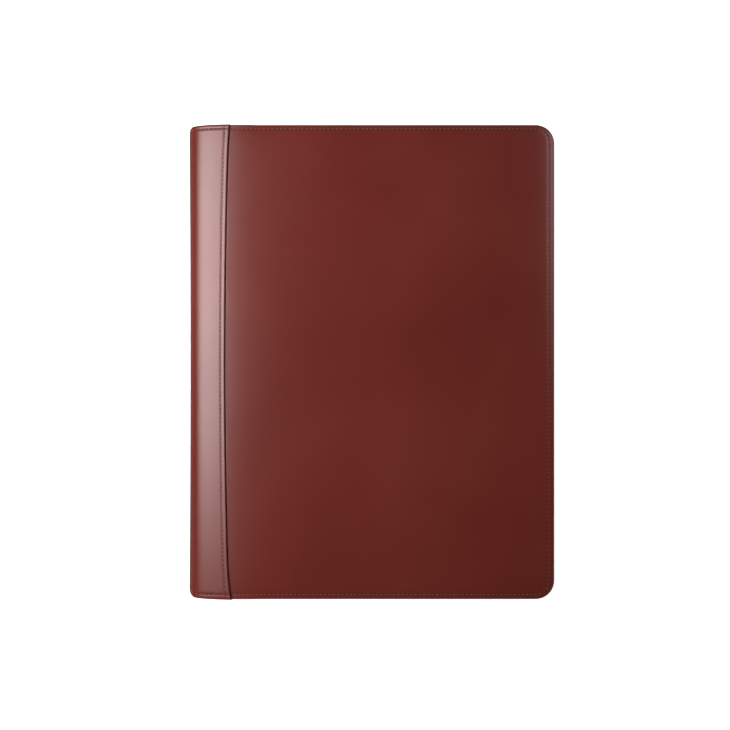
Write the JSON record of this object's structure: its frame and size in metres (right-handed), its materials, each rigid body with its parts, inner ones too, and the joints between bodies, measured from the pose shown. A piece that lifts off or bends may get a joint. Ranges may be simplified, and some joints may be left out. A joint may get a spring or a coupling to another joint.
{
  "type": "portfolio case",
  "caption": "Leather writing portfolio with a soft round spine that opens flat, a sliding pad in a pocket, document and card pockets and a pen loop.",
  "frame": {"origin": "centre of the back cover's outer face, under the middle of the closed case", "axes": "+X from the spine to the opening edge, +Y to the top edge, +Z from the back cover to the front cover"},
  "size_m": [0.248, 0.32, 0.023],
  "materials": {
    "cover_leather": "smooth semi-gloss, burgundy brown",
    "spine_leather": "smooth semi-gloss, burgundy brown",
    "lining": "fine woven lining, dark brown",
    "thread": "waxed thread, tone on tone",
    "pocket_leather": "smooth semi-gloss, burgundy brown",
    "board": "grey board",
    "backing": "brown chipboard",
    "paper": "ruled writing paper",
    "tape": "binding tape",
    "staple": "bright wire"
  },
  "bodies": {
    "back_cover": {"back_cover_leather": "cover_leather", "back_cover_board": "board", "back_cover_lining": "lining", "back_edge_thread": "thread", "back_seam_thread": "thread", "back_spine_flange": "spine_leather", "back_spine_flange_lining": "lining", "pad_pocket": "pocket_leather", "pad_pocket_thread": "thread"},
    "front_cover": {"front_cover_leather": "cover_leather", "front_cover_board": "board", "front_cover_lining": "lining", "front_edge_thread": "thread", "front_seam_thread": "thread", "front_spine_flange": "spine_leather", "front_spine_flange_lining": "lining", "document_pocket": "pocket_leather", "document_pocket_thread": "thread", "card_pocket_upper": "pocket_leather", "card_pocket_lower": "pocket_leather", "card_pocket_thread": "thread"},
    "pad": {"pad_backing": "backing", "pad_sheets": "paper", "pad_binding_tape": "tape", "pad_staples": "staple"},
    "spine_1": {"spine_leather_1": "spine_leather", "spine_lining_1": "lining", "spine_thread_1": "thread"},
    "spine_2": {"spine_leather_2": "spine_leather", "spine_lining_2": "lining", "spine_thread_2": "thread"},
    "spine_3": {"spine_leather_3": "spine_leather", "spine_lining_3": "lining", "spine_thread_3": "thread", "pen_loop": "pocket_leather", "pen_loop_thread": "thread"},
    "spine_4": {"spine_leather_4": "spine_leather", "spine_lining_4": "lining", "spine_thread_4": "thread"},
    "spine_5": {"spine_leather_5": "spine_leather", "spine_lining_5": "lining", "spine_thread_5": "thread"}
  },
  "joints": [
    {"name": "back_bend_1", "type": "hinge", "parent": "back_cover", "child": "spine_1", "pos_m": [-0.11336, 0, 0.00083], "axis": [0, -1, 0], "range_deg": [0, 30]},
    {"name": "back_bend_2", "type": "hinge", "parent": "spine_1", "child": "spine_2", "pos_m": [-0.12122, 0, 0.00478], "axis": [0, -1, 0], "range_deg": [0, 30]},
    {"name": "back_bend_3", "type": "hinge", "parent": "spine_2", "child": "spine_3", "pos_m": [-0.12368, 0, 0.00904], "axis": [0, -1, 0], "range_deg": [0, 30]},
    {"name": "front_bend_1", "type": "hinge", "parent": "spine_3", "child": "spine_4", "pos_m": [-0.12368, 0, 0.01396], "axis": [0, -1, 0], "range_deg": [0, 30]},
    {"name": "front_bend_2", "type": "hinge", "parent": "spine_4", "child": "spine_5", "pos_m": [-0.12122, 0, 0.01822], "axis": [0, -1, 0], "range_deg": [0, 30]},
    {"name": "front_bend_3", "type": "hinge", "parent": "spine_5", "child": "front_cover", "pos_m": [-0.11336, 0, 0.02217], "axis": [0, -1, 0], "range_deg": [0, 30]},
    {"name": "pad_slide", "type": "slide", "parent": "back_cover", "child": "pad", "axis": [0, 1, 0], "range_m": [0, 0.175]}
  ]
}
